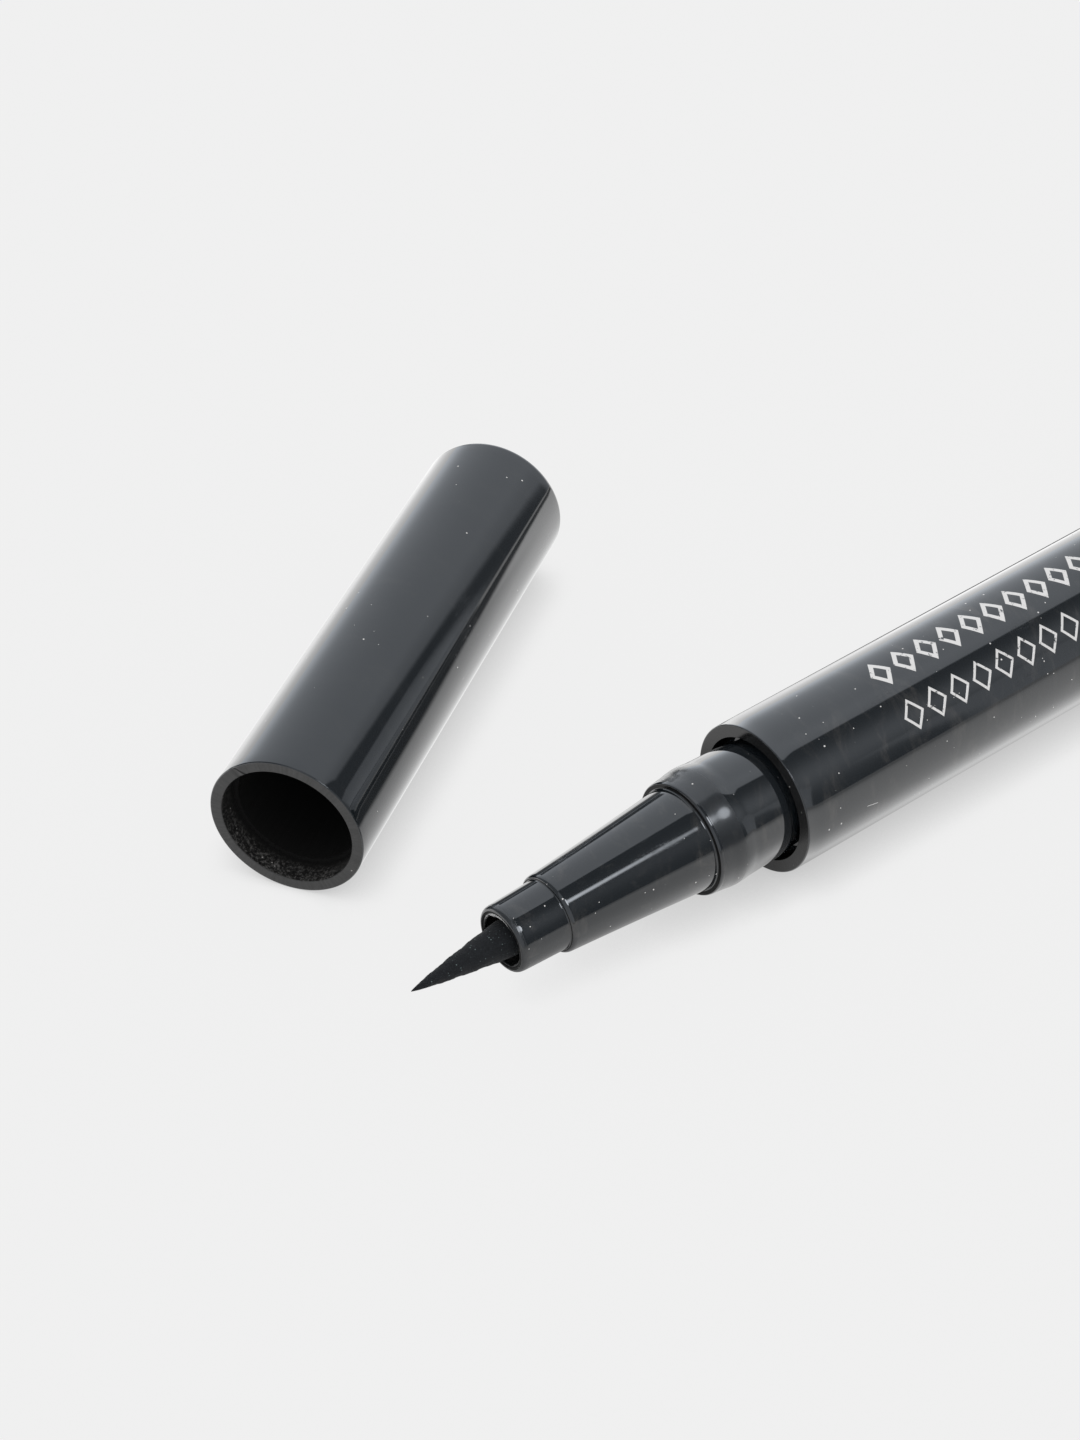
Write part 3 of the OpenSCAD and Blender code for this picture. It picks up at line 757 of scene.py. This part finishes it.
# %% [markdown]
# The barrel's face and the cap's mouth were cut, not moulded against a polished wall. They are
# duller, with marks that run outwards, dust in them, and a lighter grey. Inside the cap, the wall
# is paler low down and near the mouth, with dust specks there.

# %% Cut faces and dusty bores
def cut_face(name, axis, tone, dull, shine, seam=None):
    """Black with rays: a noise that is fast round the axis and slow outwards. dull is its
    roughness and shine the strength of what it mirrors. seam(net, angle, r) may draw a dark
    line across it."""
    material, net = started(name)
    place, s, angle, r = turned_places(net, axis)
    rays = net.drawn((angle, 26), (r, 260), (s, 300), detail=4.0, roughness=0.7)
    rings = net.drawn((r, 9000), (angle, 1.4))
    grit = net.noise(place, 9000, 3.0, 0.7)
    specks = dust(net, place, CUT_DUST)
    colour = net.blend(rays, grey(tone * 0.55), grey(tone * 1.5))
    colour = net.blend(net.steps(grit, 0.55, 0.8, 0, 0.35), colour, grey(tone * 2.6))
    if seam is not None:
        colour = net.blend(seam(net, angle, r), colour, grey(0.003))
    colour = net.blend(net.times(specks, 0.8), colour, grey(0.5, 0.03))
    rough = net.weigh(dull, (grit, 0.6 * dull), (rays, 0.3 * dull))
    height = net.weigh(0.0, (rays, 0.8), (rings, 0.25), (grit, 0.3), (specks, 1.2))
    skin = net.bump(height, 10 * MICRON * dull / 0.3)
    net.surface(colour, rough, skin, {"Specular IOR Level": shine})
    return material


def dusty_bore(name, axis, tone, dusty):
    """A moulded inner wall: soft sheen, fine draw marks along it, a paler film that is strongest
    low down and towards the mouth, and dust specks near the mouth."""
    material, net = started(name)
    place, s, angle, _ = turned_places(net, axis)
    draw = net.drawn((s, 120), (angle, 40), detail=3.0)
    grain = net.noise(place, 5200, 3.0, 0.7)
    low = net.steps(net.math("SINE", angle), 0.3, -0.9)
    mouth = net.steps(s, 1.9 * MM, 0.8 * MM)
    film = net.times(net.steps(grain, 0.42, 0.75), mouth, net.weigh(0.35, (low, 0.65)))
    specks = dust(net, place, BORE_DUST)
    colour = net.blend(draw, grey(tone * 0.7), grey(tone * 1.3))
    colour = net.blend(net.times(film, dusty), colour, grey(0.17, 0.02))
    colour = net.blend(net.times(specks, mouth, dusty), colour, grey(0.45, 0.02))
    rough = net.weigh(0.24, (grain, 0.2), (film, 0.2))
    height = net.weigh(0.0, (draw, 0.4), (grain, 0.4), (specks, 1.5))
    net.surface(colour, rough, net.bump(height, 10 * MICRON), {"Specular IOR Level": 0.03})
    return material


def flash_line(net, angle, r):
    """The dark parting line: it crosses the rim beside the nick and leans as it goes outwards,
    from 55.5 to 50 degrees."""
    inner, outer = math.radians(55.5), math.radians(50)
    centre = net.steps(r, 4.75 * MM, 5.45 * MM, inner, outer, smooth=False)
    return net.steps(net.gap(angle, centre), 0.026, 0.012)


barrel_face = cut_face("barrel_face", PEN, 0.009, 0.1, 0.6)
# The section's two step faces get a dull, dark copy of the cut face: painted shade on the rings
# that face the tip.
step_face_painted_shade = cut_face("step_face_painted_shade", PEN, 0.008, 0.16, 0.14)
cap_rim = cut_face("cap_rim", CAP, 0.056, 0.3, 0.16, seam=flash_line)
tank_wall = dusty_bore("tank_wall", PEN, 0.008, 0.05)
nozzle_bore = dusty_bore("nozzle_bore", PEN, 0.01, 0.2)
cap_bore = dusty_bore("cap_bore", CAP, 0.012, 0.9)


def dress(piece, *materials):
    """Gives a piece its materials. Clearing the old list sets every face's material number to 0,
    so the numbers are read first and written back."""
    numbers = np.zeros(len(piece.data.polygons), np.int32)
    piece.data.polygons.foreach_get("material_index", numbers)
    piece.data.materials.clear()
    for material in materials:
        piece.data.materials.append(material)
    piece.data.polygons.foreach_set("material_index", numbers)
    print(piece.name, "faces of each material:", np.bincount(numbers).tolist())


dress(barrel, barrel_black, barrel_face, tank_wall)
dress(front_section, section_black, nozzle_bore, step_face_painted_shade, land_black)
dress(cap_body, cap_black, cap_rim, cap_bore)
dress(tail_plug, plug_black)

# %% [markdown]
# The nib is felt soaked with blue-black ink: rough, with bound fibres that run along it, a few
# of them light where they stand up dry. The crust at the lip is the same ink dried to a brittle
# film with pale edges.

# %% Felt and dried ink
def felt_black():
    material, net = started("felt_black")
    place, s, angle, r = turned_places(net, PEN)
    fibres = net.drawn((s, 1500), (angle, 9), (r, 5000), detail=4.0, roughness=0.65)
    grain = net.noise(place, 7000, 3.0, 0.7)
    dry = net.times(dust(net, place, FELT_DUST), net.steps(grain, 0.35, 0.55))
    colour = net.blend(fibres, (0.003, 0.004, 0.005, 1), (0.012, 0.014, 0.017, 1))
    colour = net.blend(dry, colour, (0.13, 0.17, 0.17, 1))
    skin = net.bump(net.weigh(0.0, (fibres, 0.8), (grain, 0.9)), 40 * MICRON)
    net.surface(colour, net.weigh(0.5, (grain, 0.35)), skin, {
        "IOR": 1.45, "Specular IOR Level": 0.3, "Sheen Weight": 0.08, "Sheen Roughness": 0.5})
    return material


def dried_ink():
    """Dark film, pale along its inner edge within a radian of 66 degrees."""
    material, net = started("dried_ink")
    place, _, angle, r = turned_places(net, PEN)
    flakes = net.noise(place, 5200, 4.0, 0.7)
    sector = net.steps(net.gap(angle, math.radians(66)), 1.0, 0.5)
    edge = net.steps(r, 1.67 * MM, 1.74 * MM)
    pale = net.times(net.steps(flakes, 0.4, 0.52), sector, edge)
    colour = net.blend(pale, grey(0.006, -0.1), grey(0.42))
    skin = net.bump(flakes, 30 * MICRON)
    net.surface(colour, net.weigh(0.3, (flakes, 0.35)), skin)
    return material


dress(nib, felt_black())
dress(ink_crust, dried_ink())

# %% [markdown]
# The pieces inside keep the CAD's own shapes, but for the inner cap and its spring. Each gets the
# finish that it would have: drawn wire, a polished ball with fine scuffs, natural plastics with
# flow lines, bonded fibre, soft rubber. One function serves them, with numbers for each.

# %% Finishes for the inner pieces
def inner_finish(name, low, high, scale, stretch, rough, deep, metal=0.0, ink=0.0):
    """Two tones mixed by a noise stretched along the axis, roughness and a bump, deep microns
    high, from the same noise, and ink stains from a slow noise."""
    material, net = started(name)
    place = net.add("ShaderNodeTexCoord", output=3)
    laid = {0: place, 1: (1 / stretch, 1, 1)}
    laid = net.add("ShaderNodeVectorMath", laid, operation="MULTIPLY")
    flow = net.noise(laid, scale, 4.0, 0.6)
    grain = net.noise(place, scale * 4, 3.0, 0.7)
    stain = net.noise(place, 420, 4.0, 0.6)
    stain = net.steps(stain, 0.62 - 0.25 * ink, 0.72 - 0.2 * ink, 0.0, ink)
    colour = net.blend(stain, net.blend(flow, low, high), grey(0.012, -0.1))
    roughness = net.weigh(rough, (grain, 0.14), (flow, 0.08))
    skin = net.bump(net.weigh(flow, (grain, 0.5)), deep * MICRON)
    net.surface(colour, roughness, skin, {"Metallic": metal})
    return material


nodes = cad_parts
WARM, COOL = (grey(0.6, 0.02), grey(0.72, 0.03)), ((0.5, 0.53, 0.55, 1), (0.62, 0.64, 0.66, 1))
for piece, name, tones, scale, stretch, rough, deep, metal, ink in (
    (inner_cup, "inner_cap_black", (grey(0.012), grey(0.03)), 900, 4, 0.34, 6, 0, 0.2),
    (spring, "drawn_wire", (grey(0.42), grey(0.62)), 6000, 1, 0.16, 2, 1, 0),
    (nodes["retainer_ring"], "retainer_grey", (grey(0.05), grey(0.09)), 1400, 1, 0.3, 4, 0, 0),
    (nodes["nib_holder"], "holder_white", WARM, 1500, 5, 0.35, 4, 0, 0.6),
    (nodes["relay_core"], "bonded_fibre", (grey(0.03), grey(0.12)), 9000, 30, 0.7, 20, 0, 0.7),
    (nodes["collector"], "natural_plastic", COOL, 1300, 3, 0.22, 4, 0, 0.45),
    (nodes["tank_seal"], "seal_rubber", (grey(0.2), grey(0.33)), 3000, 1, 0.55, 10, 0, 0),
    (nodes["mixing_ball"], "ball_steel", (grey(0.5), grey(0.66)), 2500, 1, 0.1, 1, 1, 0),
):
    dress(piece, inner_finish(name, *tones, scale, stretch, rough, deep, metal, ink))

# %% [markdown]
# The table is a plain pale floor. It is part of the stage, not of the object. Seen directly it is
# an even white with a painted contact shadow, darkened by an occlusion node where a piece is
# near it. What the gloss plastic mirrors of it is drawn by zones of painted light and painted
# shade, because its bright and dark parts make the stripes on the pieces.

# %% The floor
FLOOR_HALF = 1.5


def mirrored_table(net, x, y):
    """The table's level as the gloss shows it, 1 being white, drawn as painted light and painted
    shade: above white beside and beyond the cap, and a painted shadow under the pen's near side.
    Places are in millimetres: x and y in the frame, and one pair along and across the cap, from its
    mouth."""
    start, along = CAP
    side, steps = side_of(along), net.steps
    cap_along = net.weigh(-along @ start, (x, along[0]), (y, along[1]))
    cap_right = net.weigh(side @ start, (x, -side[0]), (y, -side[1]))
    beyond_cap = net.total(steps(y, 4, 12, 0.9, 1.56), steps(y, 18, 34, 0, -0.18))
    right = net.total(steps(y, 10, 24, 0.85, 1.1), steps(y, 20, 30, 0, 0.2))
    right = net.math("MINIMUM", right, steps(cap_right, 14, 5, 1.3, 1.03))
    left = steps(cap_right, -9, -22, 1.02, 1.47)
    beside_cap = net.mix(steps(cap_right, 0, -4), right, left)
    far = net.mix(steps(cap_along, 44, 58), beside_cap, beyond_cap)
    # On the pen's near side the levels are painted light and shade: a level that rises along x, a
    # lighter strip beside the front section, and under, a painted shadow beneath the pen.
    near = net.times(steps(x, -106, -76, 0.7, 0.93), steps(y, -20, -150, 1, 0.5))
    close = net.times(steps(y, -10, -6), steps(x, -107, -96, 0, 0.2))
    under_from = steps(x, -114, -100, -11.0, -5.4)
    under = steps(y, under_from, steps(x, -102, -96, 2.0, -3.2), 1.0, 0.45)
    near = net.times(net.total(near, close), under)
    return net.mix(steps(y, 0.5, 3), near, far)


def pen_shade(net, x, y):
    """1 in the pen's own shade on the table behind it, whose far edge is a bent line."""
    edge = net.total(net.steps(x, -106, -88, 8.5, 15, smooth=False),
                     net.steps(x, -88, -60, 0, 4.5, smooth=False))
    behind = net.times(net.steps(net.less(y, edge), 3, -3), net.steps(y, 1, 3))
    return net.times(behind, net.steps(x, -108, -100))


def pale_floor():
    corners = np.array([[-1, -1], [1, -1], [1, 1], [-1, 1]]) * FLOOR_HALF
    points = np.concatenate([corners, np.full((4, 1), FLOOR_Z * MM)], 1)
    mesh = bpy.data.meshes.new("floor")
    mesh.from_pydata(points.tolist(), [], [[0, 1, 2, 3]])
    piece = bpy.data.objects.new("floor", mesh)
    bpy.context.scene.collection.objects.link(piece)
    material, net = started("pale_floor")
    rays = net.node("ShaderNodeLightPath")
    mirrored, seen = rays.outputs["Is Glossy Ray"], rays.outputs["Is Camera Ray"]
    place = net.add("ShaderNodeTexCoord", output=3)
    x, y, z = net.node("ShaderNodeSeparateXYZ", {0: place}).outputs
    x, y = net.times(x, 1 / MM), net.times(y, 1 / MM)
    # The pen's shade is painted into what the gloss mirrors, bringing the table down to 0.09 of its
    # level there.
    table = net.dimmed(mirrored_table(net, x, y), pen_shade(net, x, y), 0.09)
    # Seen directly, the floor's glow is dimmed by the occlusion node near the pieces: a painted
    # contact shadow.
    touch = net.add("ShaderNodeAmbientOcclusion", {"Distance": 4 * MM}, output=1, samples=8)
    seen_glow_painted_shadow = net.steps(touch, 0.1, 0.78, 0.5, 0.84, smooth=False)
    glow = net.total(net.times(seen, seen_glow_painted_shadow), net.times(mirrored, table))
    tone = net.blend(net.noise(place, 2500, 3.0), grey(0.028), grey(0.032))
    tone = net.blend(seen, grey(0.85), tone)
    tone = net.blend(mirrored, tone, grey(0.0))
    lit = net.add("ShaderNodeBsdfDiffuse", {"Color": tone, "Roughness": 0.0})
    shine = net.add("ShaderNodeEmission", {"Color": (1, 1, 1, 1), "Strength": glow})
    both = net.add("ShaderNodeAddShader", {0: lit, 1: shine})
    net.node("ShaderNodeOutputMaterial", {"Surface": both})
    mesh.materials.append(material)


pale_floor()
print("floor at mm:", FLOOR_Z)

# %% [markdown]
# The studio is drawn in the world. For soft light it is one even white. For mirrored rays it
# is a room: a bright wall behind the pen, a darker window side in front with a soft patch of
# light in it, and one small lamp high up. The gloss plastic shows exactly this room, bent.

# %% The studio
WALL_WHITE, SEEN_WHITE, ROOM_TINT = 0.86, 0.86, (0.945, 1.0, 1.075, 1)


def mirrored_room(net, way):
    """The room's level in the direction way, 1 being white. Angles are in degrees: azimuth from
    +X towards +Y, and height above the horizon."""
    steps, times = net.steps, net.times
    x, y, z = net.node("ShaderNodeSeparateXYZ", {0: way}).outputs
    azimuth = times(net.math("ARCTAN2", y, x), 180 / math.pi)
    height = times(net.math("ARCSINE", z), 180 / math.pi)

    def patch(az, el, wide, tall, level):
        """level * exp(-((azimuth - az) / wide)^2 - ((height - el) / tall)^2)"""
        across = times(net.less(azimuth, az), 1 / wide)
        up = times(net.less(height, el), 1 / tall)
        power = net.total(times(across, across), times(up, up))
        return times(net.math("EXPONENT", times(power, -1)), level)

    def lamp(az, el, radius, soft, level):
        """level inside a cone of directions about (az, el), fading over soft degrees."""
        az, el = math.radians(az), math.radians(el)
        middle = (math.cos(el) * math.cos(az), math.cos(el) * math.sin(az), math.sin(el))
        outer, inner = (math.cos(math.radians(radius + d)) for d in (soft, -soft))
        return steps(net.dot(way, middle), outer, inner, 0.0, level)

    def panel(rise, fall, top):
        """1 on an upright panel: rise and fall are its soft sides and top its soft upper end."""
        return times(steps(azimuth, *rise), steps(azimuth, *fall), steps(height, *top))

    low = times(height, 1 / 11)
    low = net.math("EXPONENT", times(low, low, -1))
    low = times(low, steps(azimuth, 33, 52, 0.12, 0.5))
    behind = net.total(WALL_WHITE, low, patch(8, 58, 14, 9, 0.1))
    dim = times(steps(azimuth, 6, -14), steps(height, 44, 32, 0.0, 0.42))
    behind = times(behind, net.less(1, dim))
    behind = net.dimmed(behind, panel((64.2, 65.0), (68.0, 67.4), (15.0, 11.5)), 0.06)
    ahead = net.math("MAXIMUM", steps(azimuth, 92, 108), steps(azimuth, -150, -166))
    behind = net.dimmed(behind, ahead, 0.32)

    strip = times(panel((-55, -53), (-38, -42), (30, 20)), 0.52)
    card = panel((-9.8, -12.3), (-22, -19), (18, 14.5))
    card = times(card, steps(height, 14, 2, 0.5, 0.64))
    front = net.math("MAXIMUM", net.total(0.12, patch(-48, 34, 19, 18, 0.42)), strip)
    front = net.math("MAXIMUM", front, card)
    front = net.mix(steps(azimuth, -78, -86), front, 0.6)
    front = net.total(front, lamp(-72, 54, 8.7, 1.4, 6.0))

    corner = net.total(-7.5, steps(height, 30, 50, 0, -3.2), steps(height, 57, 68, 0, 7.5),
                       steps(height, 68, 72, 0, 12))
    split = steps(net.less(azimuth, corner), -1.4, 1.4)
    split = net.math("MAXIMUM", split, steps(azimuth, -168, -176))
    return net.mix(split, front, behind)


def studio():
    world = bpy.data.worlds.new("studio")
    bpy.context.scene.world = world
    net = Net(world)
    rays = net.node("ShaderNodeLightPath")
    mirrored, seen = rays.outputs["Is Glossy Ray"], rays.outputs["Is Camera Ray"]
    room = mirrored_room(net, net.add("ShaderNodeTexCoord", output=0))
    strength = net.mix(seen, net.mix(mirrored, 1.0, room), SEEN_WHITE)
    tint = net.blend(mirrored, (1, 1, 1, 1), ROOM_TINT)
    light = net.add("ShaderNodeBackground", {"Color": tint, "Strength": strength})
    net.node("ShaderNodeOutputWorld", {"Surface": light})


studio()
bpy.context.scene.view_settings.view_transform = "Standard"
print("studio lit")
